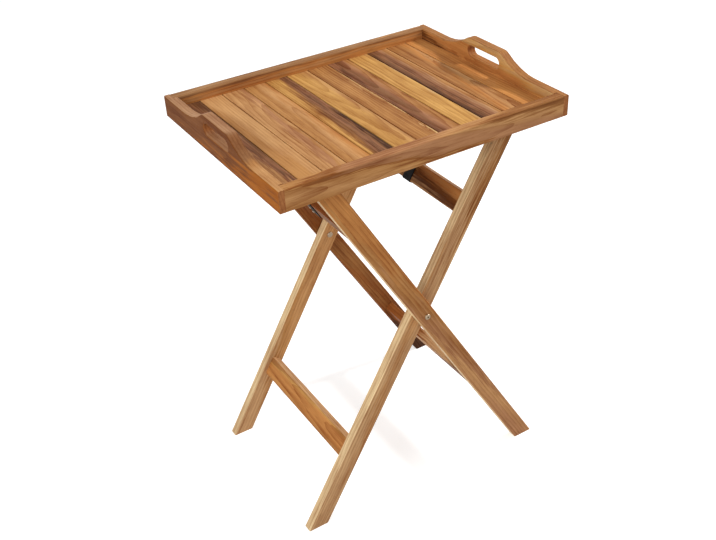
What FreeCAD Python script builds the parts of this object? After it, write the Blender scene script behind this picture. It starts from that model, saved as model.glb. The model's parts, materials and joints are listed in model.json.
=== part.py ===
"""Butler's tray table in teak: a folding cross-legged stand and a slatted tray that lifts off it.

Millimetres, +Z up, +X along the tray, +Y to the rear. The origin is on the floor, below the pivot axis.
The outer frame leans to -X at its top, the inner frame leans to +X and turns inside it.
"""
import FreeCAD, Part
import math
import os

# Tray box: rails along X, end boards along Y
TRAY_LENGTH = 600.0
TRAY_WIDTH = 455.0
RIM_TOP = 830.0
RIM_HEIGHT = 41.0
BOARD = 20.0
CORNER_LAP = 11.0
RIM_ROUND = 2.5

# Carrying handle, raised from each end board, with its finger slot
HANDLE_RISE = 29.0
HANDLE_TOP_LENGTH = 100.0
HANDLE_FOOT_LENGTH = 196.0
HANDLE_TOP_RADIUS = 20.0
HANDLE_FOOT_RADIUS = 150.0
SLOPE_ROUNDED_MOST = 0.9
SLOT_LENGTH = 98.0
SLOT_HEIGHT = 22.0
SLOT_WOOD_ABOVE = 14.5

# Slatted floor: field slats at one pitch, end slats trimmed on their outer side
SLAT_COUNT = 12
END_SLAT_TRIM = 5.0
SLAT_GAP = 2.0
SLAT_THICKNESS = 10.0
SLAT_BELOW_RIM = 21.0
SLAT_TONGUE = 6.0
SLAT_EASE = 0.8
GROOVE_CLEARANCE = 0.2

# Battens under the slats and the screws that hold each slat
BATTEN_WIDTH = 30.0
BATTEN_THICKNESS = 10.0
BATTEN_TO_LEG = 28.0
SCREW_DIAMETER = 3.5
SCREW_HEAD_DIAMETER = 7.0
SCREW_HEAD_HEIGHT = 2.0
SCREW_LENGTH = 14.0
SCREW_SINK = 3.0
SCREW_CLEARANCE = 0.1

# Folding stand: legs, lower stretchers and upper bars
LEG_WIDTH = 38.0
LEG_THICKNESS = 20.0
LEG_EASE = 1.5
FOOT_SPREAD = 568.0
PIVOT_HEIGHT = 443.0
SEAT_CLEARANCE = 3.5
BAR_WIDTH = 42.0
BAR_THICKNESS = 20.0
STRETCHER_HEIGHT = 155.0
TOP_BAR_BELOW_RIM = 154.0
TENON_WIDTH = 30.0
TENON_THICKNESS = 10.0
TENON_LENGTH = 14.0
TENON_CLEARANCE = 0.1

# Pivot: a bolt in a sleeve nut, with a washer between the legs
BOLT_DIAMETER = 6.0
BOLT_HEAD_DIAMETER = 12.0
BOLT_HEAD_HEIGHT = 3.0
BOLT_HEAD_ROUND = 1.8
BOLT_IN_SLEEVE = 14.0
HEX_SOCKET = 4.0
HEX_SOCKET_DEPTH = 1.8
SLEEVE_DIAMETER = 9.0
SLEEVE_IN_OUTER_LEG = 5.0
SLEEVE_END_GAP = 1.0
SLEEVE_HEAD_DIAMETER = 13.0
SLEEVE_HEAD_HEIGHT = 2.0
SLEEVE_HEAD_ROUND = 1.0
WASHER_DIAMETER = 18.0
WASHER_THICKNESS = 1.0
PIVOT_CLEARANCE = 0.05

# Webbing strap that stops the stand from opening further
STRAP_WIDTH = 25.0
STRAP_THICKNESS = 1.6
STRAP_CLEARANCE = 0.3
STRAP_SCREW_SPACING = 14.0

# Levels and half sizes that follow from the values above
RIM_BOTTOM = RIM_TOP - RIM_HEIGHT
SLAT_TOP = RIM_TOP - SLAT_BELOW_RIM
SLAT_BOTTOM = SLAT_TOP - SLAT_THICKNESS
HALF_LENGTH = TRAY_LENGTH / 2
HALF_WIDTH = TRAY_WIDTH / 2
INNER_HALF_LENGTH = HALF_LENGTH - BOARD
INNER_HALF_WIDTH = HALF_WIDTH - BOARD
OUTER_FRAME_HALF = INNER_HALF_WIDTH - SEAT_CLEARANCE
INNER_FRAME_HALF = OUTER_FRAME_HALF - LEG_THICKNESS - WASHER_THICKNESS
HALF_SPREAD = FOOT_SPREAD / 2
LEG_REACH = math.hypot(HALF_SPREAD, PIVOT_HEIGHT)
LEG_ANGLE = math.atan2(PIVOT_HEIGHT, HALF_SPREAD) + math.asin(LEG_WIDTH / 2 / LEG_REACH)
LEAN = 90.0 - math.degrees(LEG_ANGLE)
STRETCHER_FROM_PIVOT = (PIVOT_HEIGHT - STRETCHER_HEIGHT) / math.sin(LEG_ANGLE)
TOP_BAR_FROM_PIVOT = (RIM_BOTTOM - TOP_BAR_BELOW_RIM - PIVOT_HEIGHT) / math.sin(LEG_ANGLE)
SLAT_PITCH = 2 * (INNER_HALF_LENGTH + END_SLAT_TRIM) / SLAT_COUNT
BATTEN_LINE = INNER_FRAME_HALF - LEG_THICKNESS - BATTEN_TO_LEG - BATTEN_WIDTH / 2

ORIGIN = FreeCAD.Vector(0, 0, 0)
X_AXIS = FreeCAD.Vector(1, 0, 0)
Y_AXIS = FreeCAD.Vector(0, 1, 0)
Z_AXIS = FreeCAD.Vector(0, 0, 1)
TINY = 0.01


def box(x_range, y_range, z_range):
    """Box between three pairs of coordinates."""
    corner = FreeCAD.Vector(x_range[0], y_range[0], z_range[0])
    return Part.makeBox(x_range[1] - x_range[0], y_range[1] - y_range[0], z_range[1] - z_range[0], corner)


def rod(radius, start, end):
    """Cylinder from one point to another."""
    return Part.makeCylinder(radius, start.distanceToPoint(end), start, end - start)


def rounded(shape, radius, chosen):
    """Shape with a fillet on each edge that the chosen test accepts by its bounding box."""
    edges = [edge for edge in shape.Edges if chosen(edge.BoundBox)]
    return shape.makeFillet(radius, edges)


def runs_along_z(bounds):
    return bounds.XLength < TINY and bounds.YLength < TINY


def runs_along_y(bounds):
    return bounds.XLength < TINY and bounds.ZLength < TINY


def mirrored_y(shape):
    return shape.mirror(ORIGIN, Y_AXIS)


def leaned(shape, side):
    """Upright stand piece, drawn about the pivot, tilted to its side and lifted to the pivot's height."""
    placed = shape.copy()
    placed.rotate(ORIGIN, Y_AXIS, side * LEAN)
    placed.translate(Z_AXIS * PIVOT_HEIGHT)
    return placed


# Stand: each frame is drawn upright about the pivot, then leaned
OUTER_SIDE = -1
INNER_SIDE = 1
BAR_LEVELS = (-STRETCHER_FROM_PIVOT, TOP_BAR_FROM_PIVOT)


def leg(frame_half, side, pivot_bore):
    """Front leg of a frame: eased stock with two mortises and a pivot bore, cut level at floor and tray."""
    face = -frame_half + LEG_THICKNESS
    stock_half = LEG_REACH + RIM_TOP
    stock = box((-LEG_WIDTH / 2, LEG_WIDTH / 2), (-frame_half, face), (-stock_half, stock_half))
    stock = rounded(stock, LEG_EASE, runs_along_z)
    for level in BAR_LEVELS:
        half_thickness = TENON_THICKNESS / 2 + TENON_CLEARANCE
        half_width = TENON_WIDTH / 2 + TENON_CLEARANCE
        depth = TENON_LENGTH + TENON_CLEARANCE
        stock = stock.cut(box((-half_thickness, half_thickness), (face - depth, face),
                              (level - half_width, level + half_width)))
    stock = leaned(stock.cut(pivot_bore), side)
    span = (-stock_half, stock_half)
    return stock.common(box(span, span, (0, SLAT_BOTTOM)))


def bar(frame_half, side, level):
    """Cross bar of a frame, broad side in the frame's plane, with a tenon at each end."""
    shoulder = frame_half - LEG_THICKNESS
    body = box((-BAR_THICKNESS / 2, BAR_THICKNESS / 2), (-shoulder, shoulder),
               (level - BAR_WIDTH / 2, level + BAR_WIDTH / 2))
    body = rounded(body, LEG_EASE, runs_along_y)
    tip = shoulder + TENON_LENGTH
    tenon = box((-TENON_THICKNESS / 2, TENON_THICKNESS / 2), (-tip, tip),
                (level - TENON_WIDTH / 2, level + TENON_WIDTH / 2))
    return leaned(body.fuse(tenon).removeSplitter(), side)


def pivot_rod(diameter, y_start, y_end):
    """Rod on the pivot axis of a frame that is still drawn upright."""
    return rod(diameter / 2, Y_AXIS * y_start, Y_AXIS * y_end)


OUTER_FACE = -OUTER_FRAME_HALF
OUTER_INSIDE = OUTER_FACE + LEG_THICKNESS
INNER_FACE = -INNER_FRAME_HALF
INNER_INSIDE = INNER_FACE + LEG_THICKNESS
SLEEVE_TIP = OUTER_INSIDE - SLEEVE_IN_OUTER_LEG
PIVOT_FIT = 2 * PIVOT_CLEARANCE


def outer_pivot_bore():
    """Bolt hole through the outer leg, widened on its inside for the end of the sleeve."""
    hole = pivot_rod(BOLT_DIAMETER + PIVOT_FIT, OUTER_FACE, OUTER_INSIDE)
    return hole.fuse(pivot_rod(SLEEVE_DIAMETER + PIVOT_FIT, SLEEVE_TIP - SLEEVE_END_GAP, OUTER_INSIDE))


def inner_pivot_bore():
    return pivot_rod(SLEEVE_DIAMETER + PIVOT_FIT, INNER_FACE, INNER_INSIDE)


def pivot_bolt():
    """Round-headed bolt on the front outer leg, with a hex socket."""
    crown = OUTER_FACE - BOLT_HEAD_HEIGHT
    head = pivot_rod(BOLT_HEAD_DIAMETER, crown, OUTER_FACE)
    head = rounded(head, BOLT_HEAD_ROUND, lambda bounds: bounds.YMax < crown + TINY)
    corners = []
    for step in range(7):
        turn = math.radians(60 * step)
        reach = HEX_SOCKET / math.sqrt(3)
        corners.append(FreeCAD.Vector(reach * math.cos(turn), crown, reach * math.sin(turn)))
    socket = Part.Face(Part.makePolygon(corners)).extrude(Y_AXIS * HEX_SOCKET_DEPTH)
    shank = pivot_rod(BOLT_DIAMETER, OUTER_FACE, SLEEVE_TIP + BOLT_IN_SLEEVE)
    return head.cut(socket).fuse(shank).removeSplitter()


def pivot_sleeve_nut():
    """Sleeve nut whose head lies on the front inner leg and whose sleeve carries that leg."""
    crown = INNER_INSIDE + SLEEVE_HEAD_HEIGHT
    head = pivot_rod(SLEEVE_HEAD_DIAMETER, INNER_INSIDE, crown)
    head = rounded(head, SLEEVE_HEAD_ROUND, lambda bounds: bounds.YMin > crown - TINY)
    sleeve = pivot_rod(SLEEVE_DIAMETER, SLEEVE_TIP, INNER_INSIDE)
    thread = pivot_rod(BOLT_DIAMETER + PIVOT_FIT, SLEEVE_TIP, SLEEVE_TIP + BOLT_IN_SLEEVE + SLEEVE_END_GAP)
    return head.fuse(sleeve).removeSplitter().cut(thread)


def pivot_washer():
    """Washer between the front outer and inner legs."""
    disc = pivot_rod(WASHER_DIAMETER, OUTER_INSIDE, INNER_FACE)
    return disc.cut(pivot_rod(SLEEVE_DIAMETER + PIVOT_FIT, OUTER_INSIDE, INNER_FACE))


def pivot_pair(piece):
    """Front piece of the pivot and its mirror image at the rear, lifted to the pivot's height."""
    front = piece.translated(Z_AXIS * PIVOT_HEIGHT)
    return Part.makeCompound([front, mirrored_y(front)])


# Strap: one loop round each upper bar and a taut span between their facing top edges
def strap_section(offset):
    """Rounded block round the upper bar's section, larger than the bar by the offset on every side."""
    half_thickness = BAR_THICKNESS / 2 + offset
    half_width = BAR_WIDTH / 2 + offset
    block = box((-half_thickness, half_thickness), (-STRAP_WIDTH / 2, STRAP_WIDTH / 2),
                (TOP_BAR_FROM_PIVOT - half_width, TOP_BAR_FROM_PIVOT + half_width))
    return rounded(block, LEG_EASE + offset, runs_along_y)


def strap_screws(side):
    """Two screws through the loop into the bar's face that looks away from the strap's span."""
    pieces = []
    face = BAR_THICKNESS / 2 + STRAP_CLEARANCE + STRAP_THICKNESS
    for step in (-0.5, 0.5):
        seat = FreeCAD.Vector(side * face, 0, TOP_BAR_FROM_PIVOT + step * STRAP_SCREW_SPACING)
        out = X_AXIS * side
        head = rod(SCREW_HEAD_DIAMETER / 2, seat, seat + out * SCREW_HEAD_HEIGHT)
        shank = rod(SCREW_DIAMETER / 2, seat - out * SCREW_LENGTH, seat)
        pieces.append(leaned(head.fuse(shank), side))
    return Part.makeCompound(pieces)


def strap_screw_holes(side):
    """Clearance holes for the strap screws of one frame."""
    pieces = []
    for step in (-0.5, 0.5):
        level = Z_AXIS * (TOP_BAR_FROM_PIVOT + step * STRAP_SCREW_SPACING)
        outside = X_AXIS * side * (BAR_THICKNESS / 2 + STRAP_CLEARANCE + STRAP_THICKNESS)
        depth = X_AXIS * side * (SCREW_LENGTH + SCREW_CLEARANCE)
        pieces.append(leaned(rod(SCREW_DIAMETER / 2 + SCREW_CLEARANCE, level + outside - depth, level + outside), side))
    return Part.makeCompound(pieces)


def limit_strap():
    """Strap loops on both upper bars, joined by the span that holds the frames at their opening."""
    outer_offset = STRAP_CLEARANCE + STRAP_THICKNESS
    loop = strap_section(outer_offset).cut(strap_section(STRAP_CLEARANCE))
    edge = Part.Vertex(-BAR_THICKNESS / 2 + LEG_EASE, 0, TOP_BAR_FROM_PIVOT + BAR_WIDTH / 2 - LEG_EASE)
    edge_point = leaned(edge, INNER_SIDE).Point
    top = edge_point.z + LEG_EASE + outer_offset
    span = box((-edge_point.x, edge_point.x), (-STRAP_WIDTH / 2, STRAP_WIDTH / 2), (top - STRAP_THICKNESS, top))
    strap = span.fuse([leaned(loop, OUTER_SIDE), leaned(loop, INNER_SIDE)]).removeSplitter()
    return strap.cut(strap_screw_holes(OUTER_SIDE)).cut(strap_screw_holes(INNER_SIDE))


# Tray: grooved rails between rebated end boards, slats in the grooves, battens below
def rail():
    """Front rail: rounded at the top, with a groove for the slat ends on its inside."""
    end = HALF_LENGTH - CORNER_LAP
    stock = box((-end, end), (-HALF_WIDTH, -INNER_HALF_WIDTH), (RIM_BOTTOM, RIM_TOP))
    stock = rounded(stock, RIM_ROUND, lambda bounds: bounds.ZMin > RIM_TOP - TINY and bounds.XLength > TINY)
    depth = SLAT_TONGUE + GROOVE_CLEARANCE
    groove = box((-INNER_HALF_LENGTH, INNER_HALF_LENGTH), (-INNER_HALF_WIDTH - depth, -INNER_HALF_WIDTH),
                 (SLAT_BOTTOM, SLAT_TOP + GROOVE_CLEARANCE))
    return stock.cut(groove)


def finger_slot():
    """Round-ended slot through the left end board, longer than the board is thick."""
    level = RIM_TOP + HANDLE_RISE - SLOT_WOOD_ABOVE - SLOT_HEIGHT / 2
    half = SLOT_LENGTH / 2 - SLOT_HEIGHT / 2
    x_range = (-HALF_LENGTH - BOARD, -HALF_LENGTH + 2 * BOARD)
    slot = box(x_range, (-half, half), (level - SLOT_HEIGHT / 2, level + SLOT_HEIGHT / 2))
    for y in (-half, half):
        slot = slot.fuse(rod(SLOT_HEIGHT / 2, FreeCAD.Vector(x_range[0], y, level),
                             FreeCAD.Vector(x_range[1], y, level)))
    return slot.removeSplitter()


def handle_radii():
    """Radii at the handle's foot and top, both drawn in alike where the slope between them is too short."""
    run = (HANDLE_FOOT_LENGTH - HANDLE_TOP_LENGTH) / 2
    slope = math.hypot(run, HANDLE_RISE)
    taken = (HANDLE_FOOT_RADIUS + HANDLE_TOP_RADIUS) * math.tan(math.atan2(HANDLE_RISE, run) / 2)
    share = min(1.0, SLOPE_ROUNDED_MOST * slope / taken)
    return share * HANDLE_FOOT_RADIUS, share * HANDLE_TOP_RADIUS


def end_board():
    """Left end board: raised handle with a finger slot, rounded edges, and a rebate for each rail."""
    handle_top = RIM_TOP + HANDLE_RISE
    foot_radius, top_radius = handle_radii()
    outline = [(-HALF_WIDTH, RIM_BOTTOM), (-HALF_WIDTH, RIM_TOP), (-HANDLE_FOOT_LENGTH / 2, RIM_TOP),
               (-HANDLE_TOP_LENGTH / 2, handle_top), (HANDLE_TOP_LENGTH / 2, handle_top),
               (HANDLE_FOOT_LENGTH / 2, RIM_TOP), (HALF_WIDTH, RIM_TOP), (HALF_WIDTH, RIM_BOTTOM)]
    corners = [FreeCAD.Vector(-HALF_LENGTH, y, z) for y, z in outline]
    board = Part.Face(Part.makePolygon(corners + corners[:1])).extrude(X_AXIS * BOARD)

    def handle_edge(half, level):
        return lambda bounds: (bounds.XLength > BOARD - TINY and abs(abs(bounds.YMin) - half) < TINY
                               and abs(bounds.ZMin - level) < TINY)

    board = rounded(board, foot_radius, handle_edge(HANDLE_FOOT_LENGTH / 2, RIM_TOP))
    board = rounded(board, top_radius, handle_edge(HANDLE_TOP_LENGTH / 2, handle_top))
    board = board.cut(finger_slot())
    board = rounded(board, RIM_ROUND, lambda bounds: bounds.ZMin > RIM_BOTTOM + TINY and bounds.XLength < TINY)
    lap_end = -HALF_LENGTH + CORNER_LAP
    for y_range in ((-HALF_WIDTH, -INNER_HALF_WIDTH), (INNER_HALF_WIDTH, HALF_WIDTH)):
        board = board.cut(box((lap_end, -INNER_HALF_LENGTH), y_range, (RIM_BOTTOM, RIM_TOP)))
    return board


def slat_edges():
    """X positions of both sides of each slat, from left to right."""
    joints = [(number - SLAT_COUNT / 2) * SLAT_PITCH for number in range(1, SLAT_COUNT)]
    starts = [-INNER_HALF_LENGTH] + [joint + SLAT_GAP / 2 for joint in joints]
    ends = [joint - SLAT_GAP / 2 for joint in joints] + [INNER_HALF_LENGTH]
    return list(zip(starts, ends))


def slat_screw(x, y):
    """Screw from below a batten into a slat, with its head sunk in the batten."""
    seat = FreeCAD.Vector(x, y, SLAT_BOTTOM - BATTEN_THICKNESS + SCREW_SINK)
    head = rod(SCREW_HEAD_DIAMETER / 2, seat - Z_AXIS * SCREW_HEAD_HEIGHT, seat)
    return head.fuse(rod(SCREW_DIAMETER / 2, seat, seat + Z_AXIS * SCREW_LENGTH))


def slat_screw_hole(x, y):
    """Hole for that screw: a sink for the head and a clearance hole for the shank."""
    batten_bottom = SLAT_BOTTOM - BATTEN_THICKNESS
    start = FreeCAD.Vector(x, y, batten_bottom)
    seat = FreeCAD.Vector(x, y, batten_bottom + SCREW_SINK)
    sink = rod(SCREW_HEAD_DIAMETER / 2 + SCREW_CLEARANCE, start, seat)
    return sink.fuse(rod(SCREW_DIAMETER / 2 + SCREW_CLEARANCE, seat, seat + Z_AXIS * (SCREW_LENGTH + SCREW_CLEARANCE)))


def batten(y):
    """Batten along the tray, from end board to end board, under every slat."""
    y_range = (y - BATTEN_WIDTH / 2, y + BATTEN_WIDTH / 2)
    return box((-INNER_HALF_LENGTH, INNER_HALF_LENGTH), y_range, (SLAT_BOTTOM - BATTEN_THICKNESS, SLAT_BOTTOM))


def slat(x_range):
    """Slat from groove to groove, its upper long edges eased."""
    reach = INNER_HALF_WIDTH + SLAT_TONGUE
    board = box(x_range, (-reach, reach), (SLAT_BOTTOM, SLAT_TOP))
    return rounded(board, SLAT_EASE, lambda bounds: runs_along_y(bounds) and bounds.ZMin > SLAT_TOP - TINY)


# Every node of the assembly by its name
nodes = {}

outer_leg = leg(OUTER_FRAME_HALF, OUTER_SIDE, outer_pivot_bore())
inner_leg = leg(INNER_FRAME_HALF, INNER_SIDE, inner_pivot_bore())
nodes["outer_leg_front"] = outer_leg
nodes["outer_leg_rear"] = mirrored_y(outer_leg)
nodes["inner_leg_front"] = inner_leg
nodes["inner_leg_rear"] = mirrored_y(inner_leg)
for frame, frame_half, side in (("outer", OUTER_FRAME_HALF, OUTER_SIDE), ("inner", INNER_FRAME_HALF, INNER_SIDE)):
    nodes[frame + "_stretcher"] = bar(frame_half, side, -STRETCHER_FROM_PIVOT)
    nodes[frame + "_top_bar"] = bar(frame_half, side, TOP_BAR_FROM_PIVOT).cut(strap_screw_holes(side))
    nodes[frame + "_strap_screws"] = strap_screws(side)
nodes["limit_strap"] = limit_strap()
nodes["pivot_bolts"] = pivot_pair(pivot_bolt())
nodes["pivot_sleeve_nuts"] = pivot_pair(pivot_sleeve_nut())
nodes["pivot_washers"] = pivot_pair(pivot_washer())

front_rail = rail()
left_end = end_board()
nodes["tray_rail_front"] = front_rail
nodes["tray_rail_rear"] = mirrored_y(front_rail)
nodes["tray_end_left"] = left_end
nodes["tray_end_right"] = left_end.mirror(ORIGIN, X_AXIS)

batten_lines = (("tray_batten_front", -BATTEN_LINE), ("tray_batten_rear", BATTEN_LINE))
for name, y in batten_lines:
    nodes[name] = batten(y)
screws = []
for number, x_range in enumerate(slat_edges(), start=1):
    slat_name = "slat_%02d" % number
    nodes[slat_name] = slat(x_range)
    for batten_name, y in batten_lines:
        hole = slat_screw_hole(sum(x_range) / 2, y)
        nodes[slat_name] = nodes[slat_name].cut(hole)
        nodes[batten_name] = nodes[batten_name].cut(hole)
        screws.append(slat_screw(sum(x_range) / 2, y))
nodes["slat_screws"] = Part.makeCompound(screws)

os.makedirs("parts", exist_ok=True)
for name, shape in nodes.items():
    shape.exportStep("parts/%s.step" % name)
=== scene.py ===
"""Butler's tray table in oiled teak: a folding stand, its webbing strap and a slatted lift-off tray."""
import bpy
import bmesh
import json
import math
from mathutils import Matrix, Vector


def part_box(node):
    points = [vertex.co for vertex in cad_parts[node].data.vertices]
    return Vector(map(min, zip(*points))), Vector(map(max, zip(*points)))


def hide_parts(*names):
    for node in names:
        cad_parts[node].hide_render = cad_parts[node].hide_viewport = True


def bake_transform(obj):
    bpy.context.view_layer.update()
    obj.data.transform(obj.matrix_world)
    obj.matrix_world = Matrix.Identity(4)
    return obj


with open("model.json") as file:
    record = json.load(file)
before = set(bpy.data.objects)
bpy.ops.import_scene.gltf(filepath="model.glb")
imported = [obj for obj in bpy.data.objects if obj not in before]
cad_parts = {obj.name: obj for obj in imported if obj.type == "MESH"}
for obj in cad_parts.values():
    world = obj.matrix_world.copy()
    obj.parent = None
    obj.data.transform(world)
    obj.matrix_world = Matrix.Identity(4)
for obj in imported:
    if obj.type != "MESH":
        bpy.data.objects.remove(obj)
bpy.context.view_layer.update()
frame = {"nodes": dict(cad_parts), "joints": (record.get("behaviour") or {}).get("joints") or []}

# Legs
# Four straight legs of planed teak, two to each frame, cut level at the floor and under the tray.
# Their edges are eased, and they are sanded and oiled, so the wood keeps a low sheen and open pores.
MM = 0.001
OUTER, INNER = -1, 1

# Tones that run out of a leg along its length lie over a strip wider than the leg, in mm
LEG_SPREAD = 200.0
LEG_PITH = (-60.0, 30.0)
LEG_TILT = 0.01


def linear(code):
    """Linear colour of an sRGB hex value."""
    levels = [int(code[place:place + 2], 16) / 255 for place in (1, 3, 5)]
    return tuple(v / 12.92 if v <= 0.04045 else ((v + 0.055) / 1.055) ** 2.4 for v in levels) + (1.0,)


def add(tree, kind, inputs=None, ramp=None, **settings):
    """New node with its settings and colour stops; an input is a value, a socket or a node's output."""
    node = tree.nodes.new(kind)
    for key, value in settings.items():
        setattr(node, key, value)
    for key, value in (inputs or {}).items():
        if isinstance(value, bpy.types.Node):
            value = next(socket for socket in value.outputs if socket.enabled)
        if isinstance(value, bpy.types.NodeSocket):
            tree.links.new(value, node.inputs[key])
        else:
            node.inputs[key].default_value = value
    for number, (place, colour) in enumerate(ramp or ()):
        elements = node.color_ramp.elements
        stop = elements[number] if number < 2 else elements.new(place)
        stop.position = place
        stop.color = colour
    return node


TEAK = {
    "cream": "#EED2A2", "straw": "#DDB47A", "gold": "#D2A05A", "sand": "#CFA576", "tan": "#CE9C66",
    "copper": "#CB8C4E", "honey": "#BD8850", "rose": "#B9855B", "fawn": "#B07B48", "caramel": "#A06C3C",
    "amber": "#A45E0E", "russet": "#95592B", "umber": "#8C6240", "mauve": "#9C6B4B", "chestnut": "#7E4A1C",
    "walnut": "#775137", "bark": "#553724", "dun": "#AA7F55", "blush": "#B88C66",
}
LATE_WOOD = "#A07352"
END_GRAIN = "#AC7042"

# Rings: their spacing and a pith far to one side, which gives straight lines, in mm
RING_SPACING = 6.0
STRAIGHT = (-150.0, 40.0)
LATE_WOOD_SHARPNESS = 2.5

# The wave texture turns by 20 radians for each unit at a scale of one
WAVE_SCALE = 2 * math.pi / 20

# How much each mark darkens the wood, and how far streaks fray the bands of tone
RING_WEIGHT = 0.5
STREAK_WEIGHT = 0.3
STREAK_LEAST = 0.15
FLECK_WEIGHT = 0.3
PORE_WEIGHT = 0.2
STREAK_RAG = 0.45

# Drift of the grain: its length and breadth, and how far it goes to the side, in mm
DRIFT_LENGTH = 220.0
DRIFT_BREADTH = 45.0
DRIFT_SIDEWAYS = 16.0

# Pale faces, partly sapwood and partly painted light on faces turned to the lamps and the white floor:
# the length that their tones run over, and the distances from the board's middle between which they
# grow to their full share, in mm; their share inside of that, which is painted shade on faces inside
# the board such as the foot of a slot; how far a face looks outward, and their fray
PALE_FACE_RUN = 455.0
PALE_FACE_FADE = (1.0, 4.0)
PALE_FACE_INSIDE = 0.6
PALE_FACE_TURN = (0.5, 0.8)
PALE_FACE_RAG = 0.1

# Sockets of a mix of colours, which share their names with other sockets of the node
SHARE, UNDER, OVER, MIXED = 0, 6, 7, 2

# Thin oil finish, duller in the dark grain, over pores and streaks that are a little sunk
OIL_ROUGHNESS = (0.46, 0.62)
OIL_IOR = 1.46
OIL_SPECULAR = 0.06
PORE_RELIEF = 0.6
RELIEF_STRENGTH = 0.3
RELIEF_DEPTH = 0.3 * MM


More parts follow.
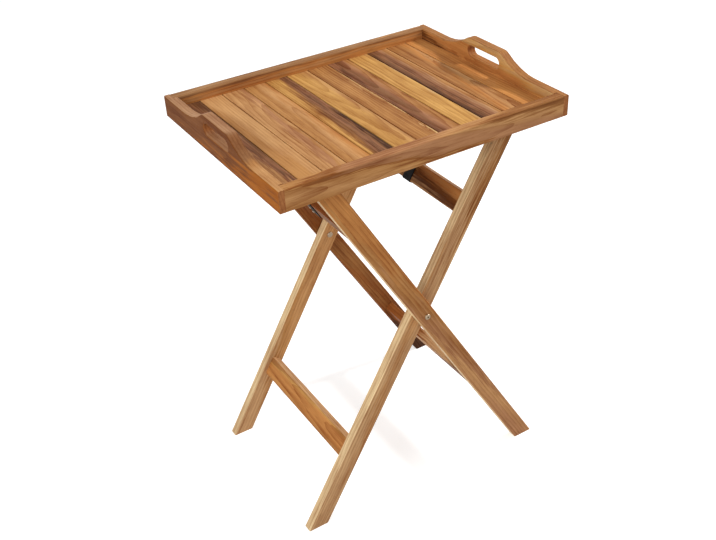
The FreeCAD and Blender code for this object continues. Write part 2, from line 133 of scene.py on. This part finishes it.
def teak(name, grain, across, centre, width, tones, seed, skew=0.0, dip=0.0, pith=STRAIGHT, tilt=0.0,
         figure=0.7, rag=0.3, sapwood_and_painted_light=None):
    """Sanded and oiled teak: bands of sapwood, heartwood and mineral streaks, growth rings and pores.

    The tones, as (place from 0 to 1, tone), lie over the board's width in mm. They run out of it along
    the board by skew and through its thickness by dip, each in mm for a mm, and flecks fray them by rag.
    The rings' pith lies that far from the board's centre, to the side and below it, in mm, and a tilt
    opens them into arches. Figure is the strength of rings, streaks and flecks. The last argument gives
    paler faces, partly sapwood and partly painted light: their side, -1 or 1 across the board, and their
    tones along the board. Faces inside the board on that side, such as the foot of a slot, get less of
    these tones, which is painted shade.
    """
    material = bpy.data.materials.new(name)
    material.use_nodes = True
    tree = material.node_tree
    shader = tree.nodes["Principled BSDF"]
    axes = Matrix((grain, across, grain.cross(across))).transposed()
    coordinates = add(tree, "ShaderNodeTexCoord")
    normal = coordinates.outputs["Normal"]
    board = add(tree, "ShaderNodeMapping",
                {"Vector": coordinates.outputs["Object"], "Location": centre, "Rotation": axes.to_euler(),
                 "Scale": (MM, MM, MM)}, vector_type="TEXTURE")

    # The grain wanders by a few millimetres over a hand's length
    slow = add(tree, "ShaderNodeVectorMath",
               {0: board, 1: (1 / DRIFT_LENGTH, 1 / DRIFT_BREADTH, 1 / DRIFT_BREADTH)},
               operation="MULTIPLY")
    drift = add(tree, "ShaderNodeTexNoise",
                {"Vector": slow, "W": seed * 7.3, "Scale": 1.0, "Detail": 4.0, "Roughness": 0.45},
                noise_dimensions="4D")
    offset = add(tree, "ShaderNodeVectorMath", {0: drift.outputs["Color"], 1: (0.5, 0.5, 0.5)},
                 operation="SUBTRACT")
    wavy = add(tree, "ShaderNodeVectorMath",
               {0: offset, 1: (0, DRIFT_SIDEWAYS, DRIFT_SIDEWAYS), 2: board}, operation="MULTIPLY_ADD")

    # Streaks of a few millimetres, flecks a finger long, blotches a hand wide, and pores drawn coarser
    # than real so that they show. Each has its length and breadth in mm, and turns a stretch of its
    # noise into shade.
    noise = {}
    shade = {}
    for mark, place, length, breadth, step, detail, roughness, stretch, shades in (
            ("streak", wavy, 240.0, 4.5, 3.1, 5.0, 0.68, (0.36, 0.66), (0.0, 1.0)),
            ("fleck", wavy, 70.0, 8.0, 2.3, 3.0, 0.5, (0.4, 0.75), (0.0, 1.0)),
            ("blotch", wavy, 90.0, 22.0, 5.9, 2.0, 0.5, (0.3, 0.7), (-0.17, 0.2)),
            ("pore", board, 14.0, 1.4, 1.7, 1.0, 0.5, (0.58, 0.74), (0.0, 1.0))):
        scaled = add(tree, "ShaderNodeVectorMath", {0: place, 1: (1 / length, 1 / breadth, 1 / breadth)},
                     operation="MULTIPLY")
        noise[mark] = add(tree, "ShaderNodeTexNoise",
                          {"Vector": scaled, "W": seed * step, "Scale": 1.0, "Detail": detail,
                           "Roughness": roughness}, noise_dimensions="4D").outputs["Fac"]
        shade[mark] = add(tree, "ShaderNodeMapRange",
                          {"Value": noise[mark], "From Min": stretch[0], "From Max": stretch[1],
                           "To Min": shades[0], "To Max": shades[1]})

    # The bands of tone have streaky edges
    slanted = add(tree, "ShaderNodeVectorMath", {0: wavy, 1: (skew, 1, dip)},
                  operation="DOT_PRODUCT").outputs["Value"]
    share = add(tree, "ShaderNodeMapRange",
                {"Value": slanted, "From Min": -width / 2, "From Max": width / 2}, clamp=False)
    ragged = add(tree, "ShaderNodeMath", {0: noise["streak"], 1: STREAK_RAG, 2: share},
                 operation="MULTIPLY_ADD")
    ragged = add(tree, "ShaderNodeMath", {0: noise["fleck"], 1: rag, 2: ragged}, operation="MULTIPLY_ADD")
    ragged = add(tree, "ShaderNodeMath", {0: ragged, 1: (STREAK_RAG + rag) / 2}, operation="SUBTRACT")
    bands = add(tree, "ShaderNodeValToRGB", {"Fac": ragged},
                [(place, linear(TEAK[tone])) for place, tone in tones])

    # Faces turned to one side get paler tones that change along the board: partly sapwood on that edge of
    # the board, partly painted light on faces turned to the lamps and the white floor. Faces that look the
    # same way inside the board, such as the foot of a slot, keep only a part of it, which is painted
    # shade.
    ground = bands.outputs["Color"]
    if sapwood_and_painted_light:
        edge, edge_tones = sapwood_and_painted_light
        turned = add(tree, "ShaderNodeVectorMath", {0: normal, 1: across * edge},
                     operation="DOT_PRODUCT").outputs["Value"]
        turned = add(tree, "ShaderNodeMapRange",
                     {"Value": turned, "From Min": PALE_FACE_TURN[0], "From Max": PALE_FACE_TURN[1]})
        outward = add(tree, "ShaderNodeVectorMath", {0: board, 1: (0, edge, 0)},
                      operation="DOT_PRODUCT").outputs["Value"]
        outward = add(tree, "ShaderNodeMapRange",
                      {"Value": outward, "From Min": PALE_FACE_FADE[0], "From Max": PALE_FACE_FADE[1],
                       "To Min": PALE_FACE_INSIDE})
        pale = add(tree, "ShaderNodeMath", {0: turned, 1: outward}, operation="MULTIPLY")
        along = add(tree, "ShaderNodeVectorMath", {0: board, 1: (1, 0, 0)},
                    operation="DOT_PRODUCT").outputs["Value"]
        along = add(tree, "ShaderNodeMapRange",
                    {"Value": along, "From Min": -PALE_FACE_RUN / 2, "From Max": PALE_FACE_RUN / 2})
        along = add(tree, "ShaderNodeMath", {0: noise["streak"], 1: PALE_FACE_RAG, 2: along},
                    operation="MULTIPLY_ADD")
        along = add(tree, "ShaderNodeMath", {0: along, 1: PALE_FACE_RAG / 2}, operation="SUBTRACT")
        edge_bands = add(tree, "ShaderNodeValToRGB", {"Fac": along},
                         [(place, linear(TEAK[tone])) for place, tone in edge_tones])
        ground = add(tree, "ShaderNodeMix",
                     {SHARE: pale, UNDER: ground, OVER: edge_bands.outputs["Color"]},
                     data_type="RGBA").outputs[MIXED]

    # End grain shows one even tone
    facing = add(tree, "ShaderNodeVectorMath", {0: normal, 1: grain}, operation="DOT_PRODUCT")
    cut = add(tree, "ShaderNodeMath", {0: facing.outputs["Value"], 1: 2.0}, operation="POWER")
    ground = add(tree, "ShaderNodeMix", {SHARE: cut, UNDER: ground, OVER: linear(END_GRAIN)},
                 data_type="RGBA").outputs[MIXED]

    # Growth rings darken slowly to their late wood and then start again
    heart = add(tree, "ShaderNodeMapping",
                {"Vector": wavy, "Location": (0, *pith), "Rotation": (0, -math.atan(tilt), 0)},
                vector_type="TEXTURE")
    rings = add(tree, "ShaderNodeTexWave", {"Vector": heart, "Scale": WAVE_SCALE / RING_SPACING},
                wave_type="RINGS", rings_direction="X", wave_profile="SAW")
    late = add(tree, "ShaderNodeMath", {0: rings.outputs["Fac"], 1: LATE_WOOD_SHARPNESS},
               operation="POWER")

    # All the marks add up to how dark the wood is
    dark = shade["blotch"]
    for mark, weight in ((late, RING_WEIGHT * figure),
                         (shade["streak"], STREAK_WEIGHT * figure + STREAK_LEAST),
                         (shade["fleck"], FLECK_WEIGHT * figure),
                         (shade["pore"], PORE_WEIGHT)):
        dark = add(tree, "ShaderNodeMath", {0: mark, 1: weight, 2: dark}, operation="MULTIPLY_ADD")
    dark.use_clamp = True
    colour = add(tree, "ShaderNodeMix", {SHARE: dark, UNDER: ground, OVER: linear(LATE_WOOD)},
                 data_type="RGBA", blend_type="MULTIPLY")
    tree.links.new(colour.outputs[MIXED], shader.inputs["Base Color"])
    gloss = add(tree, "ShaderNodeMapRange",
                {"Value": dark, "To Min": OIL_ROUGHNESS[0], "To Max": OIL_ROUGHNESS[1]})
    tree.links.new(gloss.outputs["Result"], shader.inputs["Roughness"])
    shader.inputs["IOR"].default_value = OIL_IOR
    shader.inputs["Specular IOR Level"].default_value = OIL_SPECULAR
    relief = add(tree, "ShaderNodeMath", {0: shade["pore"], 1: PORE_RELIEF, 2: shade["streak"]},
                 operation="MULTIPLY_ADD")
    bump = add(tree, "ShaderNodeBump",
               {"Height": relief, "Strength": RELIEF_STRENGTH, "Distance": RELIEF_DEPTH}, invert=True)
    tree.links.new(bump.outputs["Normal"], shader.inputs["Normal"])
    return material


def even(tone):
    """One tone from end to end of a board."""
    return (0.0, tone), (1.0, tone)


def dress(node, material):
    """Gives a CAD node its finish."""
    piece = frame["nodes"][node]
    piece.data.materials.clear()
    piece.data.materials.append(material)


def middle(node):
    """Centre of a CAD node's box."""
    low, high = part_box(node)
    return (low + high) / 2


X, Y, Z = Vector((1, 0, 0)), Vector((0, 1, 0)), Vector((0, 0, 1))
pivot = Vector(frame["joints"][0]["pos_m"])
reach = middle("inner_top_bar") - pivot
lean = math.atan2(reach.x, reach.z)


def leg_axes(side):
    """Directions up a frame that leans to that side, and across its legs."""
    up_leg = Vector((side * math.sin(lean), 0, math.cos(lean)))
    across = Vector((math.cos(lean), 0, -side * math.sin(lean)))
    return up_leg, across


# One narrow face of three legs is paler: partly sapwood, and partly painted light on the face turned to
# the fill lamp on the inner legs and to the white floor on the outer front leg
for node, side, seed, skew, figure, rag, sapwood_and_painted_light, tones in (
        ("outer_leg_front", OUTER, 1, 0.12, 0.7, 0.3, (-1, even("cream")),
         ((0.0, "rose"), (0.2, "rose"), (0.33, "tan"), (0.42, "rose"), (0.55, "honey"), (0.65, "copper"),
          (1.0, "copper"))),
        ("outer_leg_rear", OUTER, 2, 0.2, 0.8, 0.3, None,
         ((0.0, "bark"), (0.02, "bark"), (0.07, "russet"), (0.2, "caramel"), (0.26, "russet"),
          (0.33, "caramel"), (0.46, "caramel"), (0.56, "russet"), (0.68, "blush"), (1.0, "blush"))),
        ("inner_leg_front", INNER, 3, 0.12, 0.7, 0.3, (-1, even("cream")),
         ((0.0, "sand"), (0.35, "sand"), (0.43, "tan"), (0.5, "sand"), (0.62, "sand"), (0.69, "fawn"),
          (0.76, "caramel"), (1.0, "fawn"))),
        ("inner_leg_rear", INNER, 4, 0.2, 0.6, 0.2, (-1, even("cream")),
         ((0.0, "sand"), (0.1, "sand"), (0.2, "honey"), (0.27, "tan"), (0.5, "tan"), (1.0, "honey")))):
    up_leg, across = leg_axes(side)
    centre = Vector((pivot.x, middle(node).y, pivot.z))
    dress(node, teak("teak_" + node, up_leg, across, centre, LEG_SPREAD, tones, seed, skew, pith=LEG_PITH,
                     tilt=LEG_TILT, figure=figure, rag=rag, sapwood_and_painted_light=sapwood_and_painted_light))

# Stretchers and upper bars
# A flat teak bar ties each pair of legs near the floor and another below the tray, tenoned and glued in.
# The bars lie broadside in the plane of their frame, and their grain runs from leg to leg.
BAR_WIDTH = 42.0
BAR_PITH = (10.0, 30.0)
BAR_TILT = 0.03

# The slanted bands of one stretcher lie over a strip wider than the bar, in mm
SLANTED_SPREAD = 100.0
# One narrow face of three bars is paler: partly sapwood, and partly painted light on the top faces of the
# inner bars, where the key lamp falls, and on the underside of the outer stretcher, over the floor
for node, side, seed, spread, skew, sapwood_and_painted_light, tones in (
        ("outer_stretcher", OUTER, 5, SLANTED_SPREAD, 0.4, (-1, even("cream")),
         ((0.0, "umber"), (0.34, "umber"), (0.5, "sand"), (0.75, "sand"), (0.9, "russet"),
          (1.0, "russet"))),
        ("outer_top_bar", OUTER, 6, BAR_WIDTH, 0.03, None,
         ((0.0, "caramel"), (0.6, "umber"), (1.0, "russet"))),
        ("inner_stretcher", INNER, 7, BAR_WIDTH, 0.03, (1, even("sand")),
         ((0.0, "honey"), (0.25, "copper"), (0.75, "copper"), (0.88, "gold"), (1.0, "honey"))),
        ("inner_top_bar", INNER, 8, 2 * BAR_WIDTH, -0.094, (1, even("sand")),
         ((0.0, "sand"), (0.38, "sand"), (0.48, "walnut"), (0.6, "chestnut"), (0.68, "honey"),
          (0.78, "copper"), (1.0, "copper")))):
    up_leg, across = leg_axes(side)
    dress(node, teak("teak_" + node, Y, up_leg, middle(node), spread, tones, seed, skew, pith=BAR_PITH,
                     tilt=BAR_TILT, sapwood_and_painted_light=sapwood_and_painted_light))

# Pivot hardware and screws
# Round-headed bolts, sleeve nuts and washers at the crossings, and wood screws that hold the strap and
# the slats. They are stainless steel, turned and tumbled, which leaves it satin with fine scratches.
# The warm tint of the steel is painted reflection of the teak round it
STEEL_DARK = "#86745E"
STEEL_LIGHT = "#CDB79C"
SCRATCH_SPACING = 0.5 * MM


def turned_steel(name):
    """Satin stainless steel; its scratches, half a millimetre apart, are coarser than real, to show."""
    material = bpy.data.materials.new(name)
    material.use_nodes = True
    tree = material.node_tree
    shader = tree.nodes["Principled BSDF"]
    shader.inputs["Metallic"].default_value = 1.0
    coordinates = add(tree, "ShaderNodeTexCoord")
    scratches = add(tree, "ShaderNodeTexNoise",
                    {"Vector": coordinates.outputs["Object"], "Scale": 1 / SCRATCH_SPACING,
                     "Detail": 3.0})
    tint = add(tree, "ShaderNodeValToRGB", {"Fac": scratches.outputs["Fac"]},
               [(0.3, linear(STEEL_DARK)), (0.7, linear(STEEL_LIGHT))])
    tree.links.new(tint.outputs["Color"], shader.inputs["Base Color"])
    gloss = add(tree, "ShaderNodeMapRange",
                {"Value": scratches.outputs["Fac"], "To Min": 0.24, "To Max": 0.42})
    tree.links.new(gloss.outputs["Result"], shader.inputs["Roughness"])
    return material


steel = turned_steel("stainless_steel_turned")
for node in ("pivot_bolts", "pivot_sleeve_nuts", "pivot_washers", "outer_strap_screws",
             "inner_strap_screws", "slat_screws"):
    dress(node, steel)

# Limit strap
# Black polypropylene webbing looped round both upper bars and screwed to them. Its taut span stops the
# stand opening. It is woven as a ribbed tape with a thicker cord along each edge.
STRAP_WIDTH = 25.0 * MM
STRAP_THICKNESS = 1.6 * MM
STRAP_CLEARANCE = 0.3 * MM
BAR_THICKNESS = 20.0 * MM
BAR_EASE = 1.5 * MM
CORNER_STEPS = 5
SPAN_STEPS = 40

# Outline of the tape with its two cords, in shares of its width and thickness
TAPE_SECTION = ((-0.5, -0.35), (-0.5, 0.35), (-0.46, 0.5), (-0.42, 0.5), (-0.38, 0.4), (0.0, 0.42),
                (0.38, 0.4), (0.42, 0.5), (0.46, 0.5), (0.5, 0.35), (0.5, -0.35), (0.46, -0.5),
                (0.42, -0.5), (0.38, -0.4), (0.0, -0.42), (-0.38, -0.4), (-0.42, -0.5), (-0.46, -0.5))
RIB_SPACING = 2.0 * MM
PICK_SPACING = 1.5 * MM
WEAVE_DEPTH = 0.4 * MM
WEBBING_DARK = "#0E0C0D"
WEBBING_LIGHT = "#221E20"


def bar_loop(side, node):
    """Middle line of the strap round one upper bar."""
    up_leg, across = leg_axes(side)
    outward = across * side
    centre = middle(node)
    radius = BAR_EASE + STRAP_CLEARANCE + STRAP_THICKNESS / 2
    half_width = BAR_WIDTH * MM / 2 - BAR_EASE
    half_thickness = BAR_THICKNESS / 2 - BAR_EASE
    points = []
    for corner, (along, away) in enumerate(((1, -1), (1, 1), (-1, 1), (-1, -1))):
        hub = centre + up_leg * along * half_width + outward * away * half_thickness
        for step in range(CORNER_STEPS + 1):
            turn = math.pi * (1 - corner / 2 - step / CORNER_STEPS / 2)
            points.append(hub + (outward * math.cos(turn) + up_leg * math.sin(turn)) * radius)
    return points


def tape(shape, lengths, points, closed):
    """Adds a run of tape along its middle line, with the length along it kept for the weave."""
    count = len(points)
    rings = []
    gone = 0.0
    for number in range(count + (1 if closed else 0)):
        point = points[number % count]
        before = points[(number - 1) % count] if closed or number else point
        after = points[(number + 1) % count] if closed or number + 1 < count else point
        out = Y.cross((after - before).normalized())
        gone += (point - points[(number - 1) % count]).length if number else 0.0
        rings.append(([shape.verts.new(point + Y * STRAP_WIDTH * across + out * STRAP_THICKNESS * rise)
                       for across, rise in TAPE_SECTION], gone))
    for (ring, start), (following, end) in zip(rings, rings[1:]):
        for number in range(len(TAPE_SECTION)):
            nearby = (number + 1) % len(TAPE_SECTION)
            face = shape.faces.new((ring[number], ring[nearby], following[nearby], following[number]))
            face.smooth = True
            across = TAPE_SECTION[number][0]
            beyond = TAPE_SECTION[nearby][0]
            corners = zip(face.loops, (start, start, end, end), (across, beyond, beyond, across))
            for loop, length, place in corners:
                loop[lengths].uv = (length, place * STRAP_WIDTH)
    if not closed:
        shape.faces.new(rings[0][0][::-1])
        shape.faces.new(rings[-1][0])


def webbing(name):
    """Black polypropylene webbing with a faint sheen: ribs along the tape and picks across it."""
    material = bpy.data.materials.new(name)
    material.use_nodes = True
    tree = material.node_tree
    shader = tree.nodes["Principled BSDF"]
    weave_place = add(tree, "ShaderNodeUVMap", uv_map="weave")
    ribs = add(tree, "ShaderNodeTexWave", {"Vector": weave_place, "Scale": WAVE_SCALE / RIB_SPACING},
               bands_direction="Y")
    picks = add(tree, "ShaderNodeTexWave", {"Vector": weave_place, "Scale": WAVE_SCALE / PICK_SPACING},
                bands_direction="X")
    weave = add(tree, "ShaderNodeMath", {0: ribs.outputs["Fac"], 1: picks.outputs["Fac"]},
                operation="MULTIPLY")
    tint = add(tree, "ShaderNodeValToRGB", {"Fac": weave},
               [(0.0, linear(WEBBING_DARK)), (1.0, linear(WEBBING_LIGHT))])
    tree.links.new(tint.outputs["Color"], shader.inputs["Base Color"])
    shader.inputs["Roughness"].default_value = 0.7
    shader.inputs["Specular IOR Level"].default_value = 0.2
    shader.inputs["Sheen Weight"].default_value = 0.05
    bump = add(tree, "ShaderNodeBump", {"Height": weave, "Strength": 0.6, "Distance": WEAVE_DEPTH})
    tree.links.new(bump.outputs["Normal"], shader.inputs["Normal"])
    return material


outer_loop, inner_loop = bar_loop(OUTER, "outer_top_bar"), bar_loop(INNER, "inner_top_bar")
left_end, right_end = [max(loop, key=lambda point: point.z) for loop in (outer_loop, inner_loop)]
span = [left_end.lerp(right_end, step / SPAN_STEPS) for step in range(SPAN_STEPS + 1)]
shape = bmesh.new()
lengths = shape.loops.layers.uv.new("weave")
tape(shape, lengths, outer_loop, True)
tape(shape, lengths, inner_loop, True)
tape(shape, lengths, span, False)
bmesh.ops.recalc_face_normals(shape, faces=shape.faces)
strap_mesh = bpy.data.meshes.new("limit_strap_webbing")
shape.to_mesh(strap_mesh)
shape.free()
strap_mesh.materials.append(webbing("polypropylene_webbing_black"))
strap = bpy.data.objects.new("limit_strap_webbing", strap_mesh)
bpy.context.scene.collection.objects.link(strap)
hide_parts("limit_strap")
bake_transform(strap)

# Tray rails and end boards
# Teak boards round the tray: two plain rails, and two end boards with a sawn and rounded handle.
# The rails are glued into rebates in the end boards, so a strip of end board shows beside each rail's end.
RIM_HEIGHT = 41.0
END_PITH = (10.0, 150.0)

# The slanted bands of the end boards lie over strips much wider than the boards, in mm
LEFT_SPREAD = 400.0
RIGHT_SPREAD = 200.0
# The end boards' top faces are paler, in tones that change along the board: partly sapwood and partly
# painted light where the lamps fall on them; the foot of each finger slot keeps less, as painted shade
for node, grain, across, seed, spread, skew, dip, pith, tilt, figure, sapwood_and_painted_light, tones in (
        ("tray_rail_front", X, Z, 11, 2 * RIM_HEIGHT, 0.107, 0.4, (0.0, 45.0), 0.03, 0.7, None,
         ((0.0, "honey"), (0.2, "tan"), (0.39, "honey"), (0.43, "russet"), (0.47, "caramel"),
          (0.5, "rose"), (0.75, "rose"), (0.88, "tan"), (0.95, "fawn"), (1.0, "caramel"))),
        ("tray_rail_rear", X, Z, 12, RIM_HEIGHT, 0.0, 0.0, (-80.0, 40.0), 0.0, 0.7, None,
         ((0.0, "fawn"), (0.35, "copper"), (0.62, "copper"), (0.75, "tan"), (0.86, "copper"),
          (0.96, "dun"), (1.0, "dun"))),
        ("tray_end_left", Y, Z, 13, LEFT_SPREAD, 0.15, 0.0, END_PITH, 0.0, 0.6,
         (1, ((0.0, "tan"), (0.17, "tan"), (0.23, "fawn"), (0.27, "umber"), (0.37, "umber"),
              (0.41, "blush"), (1.0, "blush"))),
         ((0.0, "amber"), (0.41, "amber"), (0.46, "chestnut"), (1.0, "chestnut"))),
        # Right end board: the dark tones low on its inner face towards the rear are partly painted shade
        # in the tray's rear corner and partly a dark streak; the pale tones high up on the handle are
        # painted light
        ("tray_end_right", Y, Z, 14, RIGHT_SPREAD, -0.15, 0.0, END_PITH, 0.0, 0.6, (1, even("fawn")),
         ((0.0, "bark"), (0.26, "bark"), (0.3, "chestnut"), (0.34, "fawn"), (0.38, "copper"),
          (0.53, "copper"), (0.59, "gold"), (0.65, "straw"), (1.0, "straw")))):
    dress(node, teak("teak_" + node, grain, across, middle(node), spread, tones, seed, skew, dip, pith,
                     tilt, figure, sapwood_and_painted_light=sapwood_and_painted_light))

# Slats
# Twelve teak slats across the tray, from boards of mixed colour, their ends held in grooves of the rails.
# Tones run from each slat's left edge to its right edge. Flat-sawn slats show arches, the others lines.
SLAT_RAG = 0.7
SLAT_SEEDS = 20
for number, skew, pith, tilt, figure, tones in (
        (1, 0.045, STRAIGHT, 0.0, 0.7,
         ((0.0, "tan"), (0.42, "tan"), (0.54, "mauve"), (0.62, "walnut"), (0.74, "mauve"),
          (0.84, "umber"), (1.0, "walnut"))),
        (2, 0.08, STRAIGHT, 0.0, 0.4, ((0.0, "honey"), (0.25, "honey"), (0.45, "tan"), (1.0, "tan"))),
        (3, -0.03, (16.0, 26.0), 0.04, 0.7,
         ((0.0, "tan"), (0.48, "tan"), (0.66, "rose"), (0.8, "rose"), (0.92, "honey"), (1.0, "tan"))),
        (4, -0.02, (8.0, 30.0), 0.03, 0.6,
         ((0.0, "honey"), (0.4, "honey"), (0.6, "tan"), (1.0, "copper"))),
        (5, -0.045, STRAIGHT, 0.0, 0.8,
         ((0.0, "gold"), (0.24, "gold"), (0.38, "caramel"), (0.5, "umber"), (0.58, "mauve"),
          (0.68, "walnut"), (0.78, "mauve"), (0.88, "umber"), (1.0, "bark"))),
        (6, 0.0, (4.0, 24.0), -0.04, 0.6, ((0.0, "gold"), (0.5, "gold"), (1.0, "tan"))),
        (7, -0.005, STRAIGHT, 0.0, 0.7,
         ((0.0, "caramel"), (0.15, "honey"), (0.45, "honey"), (0.7, "fawn"), (0.88, "fawn"),
          (0.92, "russet"), (0.95, "straw"), (1.0, "straw"))),
        (8, -0.02, (-3.0, 22.0), -0.05, 0.8,
         ((0.0, "mauve"), (0.12, "walnut"), (0.22, "mauve"), (0.36, "umber"), (0.5, "mauve"),
          (0.64, "rose"), (0.8, "honey"), (0.92, "fawn"), (1.0, "russet"))),
        (9, 0.0, (30.0, 30.0), 0.02, 0.7, ((0.0, "gold"), (0.9, "gold"), (1.0, "straw"))),
        (10, 0.02, STRAIGHT, 0.0, 0.8,
         ((0.0, "bark"), (0.08, "walnut"), (0.2, "umber"), (0.3, "mauve"), (0.4, "walnut"),
          (0.52, "mauve"), (0.66, "blush"), (0.85, "honey"), (1.0, "tan"))),
        # Slats 11 and 12: the warmer, darker tones of slat 12 and of slat 11's right edge are partly
        # painted shade, where the right handle's shadow falls
        (11, -0.08, (14.0, 26.0), 0.04, 0.8,
         ((0.0, "fawn"), (0.3, "fawn"), (0.5, "copper"), (0.75, "tan"), (0.9, "tan"), (1.0, "fawn"))),
        (12, 0.0, STRAIGHT, 0.0, 0.6, even("copper"))):
    node = "slat_%02d" % number
    low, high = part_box(node)
    dress(node, teak("teak_" + node, Y, X, middle(node), (high - low).x / MM, tones, SLAT_SEEDS + number,
                     skew, pith=pith, tilt=tilt, figure=figure, rag=SLAT_RAG))

# Battens
# Two teak battens under the slats, which hold them in line, with screws driven up into each slat.
# They are planed and oiled like the rest, but from boards that are less choice in colour.
for node, seed in (("tray_batten_front", 41), ("tray_batten_rear", 42)):
    low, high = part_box(node)
    tones = ((0.0, "caramel"), (0.5, "fawn"), (1.0, "umber"))
    dress(node, teak("teak_" + node, X, Y, middle(node), (high - low).y / MM, tones, seed))

# Studio
# A plain white floor and white surroundings, with a small soft key light on the right and a wide fill on
# the left. The floor glows a little for the camera, so the shadow stays faint, and reflections see white.
FLOOR_HALF = 60.0
FLOOR_LIFT = 0.45
SURROUNDINGS = 0.52
LIGHT_AIM = Vector((0, 0, 0.8))
WHITE = linear("#FFFFFF")
floor_mesh = bpy.data.meshes.new("floor")
floor_mesh.from_pydata([(-FLOOR_HALF, -FLOOR_HALF, 0), (FLOOR_HALF, -FLOOR_HALF, 0),
                        (FLOOR_HALF, FLOOR_HALF, 0), (-FLOOR_HALF, FLOOR_HALF, 0)], [], [(0, 1, 2, 3)])
floor = bpy.data.objects.new("floor", floor_mesh)
bpy.context.scene.collection.objects.link(floor)
floor_paint = bpy.data.materials.new("floor_white_paint")
floor_paint.use_nodes = True
tree = floor_paint.node_tree
rays = add(tree, "ShaderNodeLightPath").outputs
mirrored = add(tree, "ShaderNodeMath", {0: rays["Is Glossy Ray"], 1: rays["Is Transmission Ray"]},
               operation="MAXIMUM")
matt = add(tree, "ShaderNodeBsdfDiffuse", {"Color": linear("#F2F2F2")})
lift = add(tree, "ShaderNodeEmission", {"Color": WHITE, "Strength": FLOOR_LIFT})
white = add(tree, "ShaderNodeEmission", {"Color": WHITE, "Strength": 1.0})
bright = add(tree, "ShaderNodeAddShader", {0: matt, 1: lift})
seen = add(tree, "ShaderNodeMixShader", {0: rays["Is Camera Ray"], 1: matt, 2: bright})
seen = add(tree, "ShaderNodeMixShader", {0: mirrored, 1: seen, 2: white})
tree.links.new(seen.outputs["Shader"], tree.nodes["Material Output"].inputs["Surface"])
floor_mesh.materials.append(floor_paint)

world = bpy.data.worlds.new("studio")
bpy.context.scene.world = world
world.use_nodes = True
tree = world.node_tree
rays = add(tree, "ShaderNodeLightPath").outputs
shown = add(tree, "ShaderNodeMath", {0: rays["Is Glossy Ray"], 1: rays["Is Transmission Ray"]},
            operation="MAXIMUM")
shown = add(tree, "ShaderNodeMath", {0: shown, 1: rays["Is Camera Ray"]}, operation="MAXIMUM")
around = add(tree, "ShaderNodeBackground", {"Color": WHITE, "Strength": SURROUNDINGS})
white = add(tree, "ShaderNodeBackground", {"Color": WHITE, "Strength": 1.0})
seen = add(tree, "ShaderNodeMixShader", {0: shown, 1: around, 2: white})
tree.links.new(seen.outputs["Shader"], tree.nodes["World Output"].inputs["Surface"])

for name, place, size, watts in (
        ("key", (2.6, -0.2, 2.55), 0.45, 74),
        ("fill", (-2.4, -1.0, 2.2), 1.6, 45)):
    lamp = bpy.data.lights.new(name, "AREA")
    lamp.shape = "DISK"
    lamp.size = size
    lamp.energy = watts
    light = bpy.data.objects.new(name, lamp)
    light.location = place
    light.rotation_euler = (LIGHT_AIM - light.location).to_track_quat("-Z", "Y").to_euler()
    bpy.context.scene.collection.objects.link(light)

# Camera
# It stands at the photograph's viewpoint, in front of the table's left corner, and looks down on it.
# It is rolled a little, and its aim lies beside the table's middle, so that the frame is the same.
# The frame and the focal length are in pixels, the sensor in mm and the distances in metres.
FRAME_WIDTH = 716
SENSOR_WIDTH = 36.0
CAMERA_AZIMUTH = math.radians(-30.4)
CAMERA_ELEVATION = math.radians(34.0)
CAMERA_ROLL = math.radians(-3.0)
CAMERA_DISTANCE = 2.130
FOCAL_PIXELS = 1006
AIM_HEIGHT = 0.350
AIM_RIGHT = -0.029
AIM_UP = 0.0737

back = Vector((math.sin(CAMERA_AZIMUTH) * math.cos(CAMERA_ELEVATION),
               -math.cos(CAMERA_AZIMUTH) * math.cos(CAMERA_ELEVATION), math.sin(CAMERA_ELEVATION)))
level = Vector((math.cos(CAMERA_AZIMUTH), math.sin(CAMERA_AZIMUTH), 0))
rise = back.cross(level)
right = level * math.cos(CAMERA_ROLL) + rise * math.sin(CAMERA_ROLL)
up = back.cross(right)
lens = bpy.data.cameras.new("camera")
lens.sensor_width = SENSOR_WIDTH
lens.lens = FOCAL_PIXELS * SENSOR_WIDTH / FRAME_WIDTH
camera = bpy.data.objects.new("camera", lens)
turned = Matrix((right, up, back)).transposed().to_4x4()
stand = Vector((0, 0, AIM_HEIGHT)) + right * AIM_RIGHT + up * AIM_UP + back * CAMERA_DISTANCE
camera.matrix_world = Matrix.Translation(stand) @ turned
bpy.context.scene.collection.objects.link(camera)
bpy.context.scene.camera = camera
bpy.context.scene.view_settings.view_transform = "Standard"
